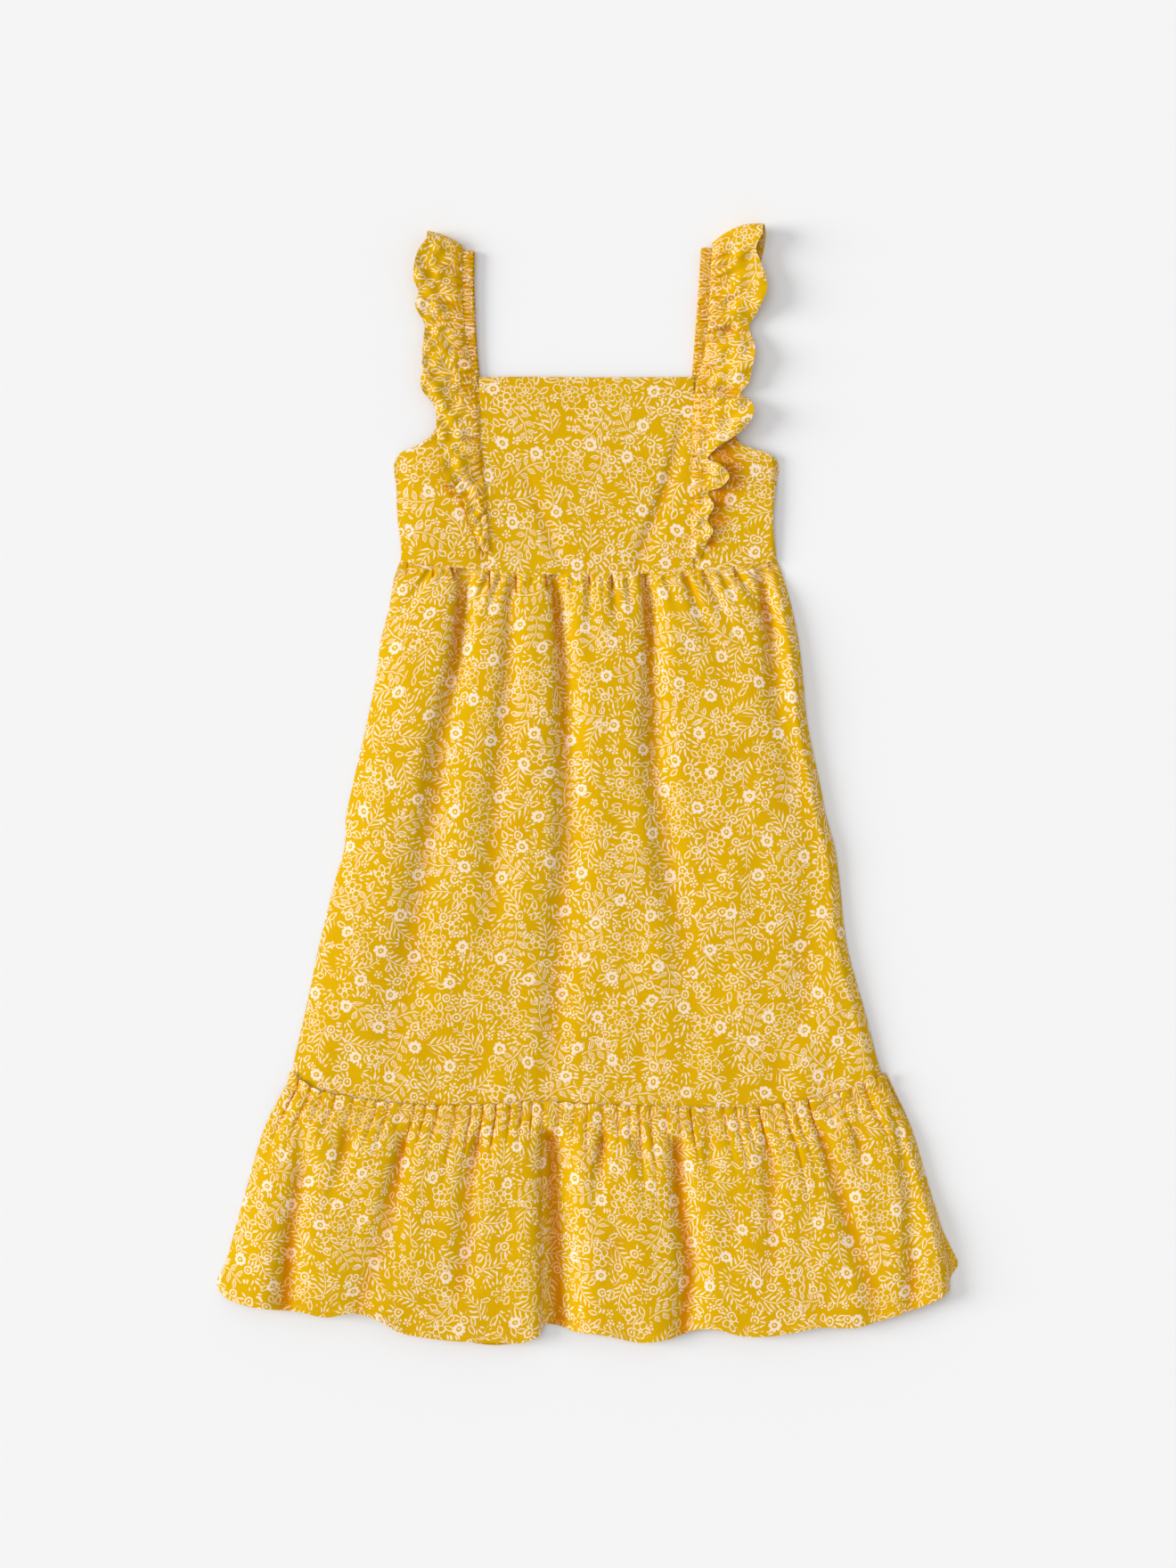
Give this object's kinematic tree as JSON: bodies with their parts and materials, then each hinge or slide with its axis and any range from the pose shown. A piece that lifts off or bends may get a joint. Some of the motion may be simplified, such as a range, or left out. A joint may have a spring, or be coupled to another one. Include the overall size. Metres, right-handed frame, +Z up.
{
  "type": "sundress",
  "caption": "Girl's sundress laid flat: square-necked bodice on shoulder straps with waved ruffles, gathered A-line skirt and a gathered flounce at the hem.",
  "frame": {"origin": "on the surface that the dress lies on, under the middle of its width and length", "axes": "+X to the right as the front of the dress is seen, +Y from the hem to the shoulders, +Z up, out of the front of the dress"},
  "size_m": [0.5229, 0.7908, 0.0184],
  "materials": {
    "printed_cotton": "light plain-weave cotton, mustard yellow with a small pinkish-cream flower print, matt",
    "strap_cotton": "the same cotton gathered on elastic into fine ribs across the strap, matt"
  },
  "bodies": {
    "root": {"bodice_front_center": "printed_cotton", "bodice_front_side_left": "printed_cotton", "bodice_front_side_right": "printed_cotton", "bodice_back": "printed_cotton", "skirt_front": "printed_cotton", "skirt_back": "printed_cotton", "flounce_front": "printed_cotton", "flounce_back": "printed_cotton", "ruffle_left": "printed_cotton", "ruffle_right": "printed_cotton", "strap_left": "strap_cotton", "strap_right": "strap_cotton"}
  },
  "joints": []
}
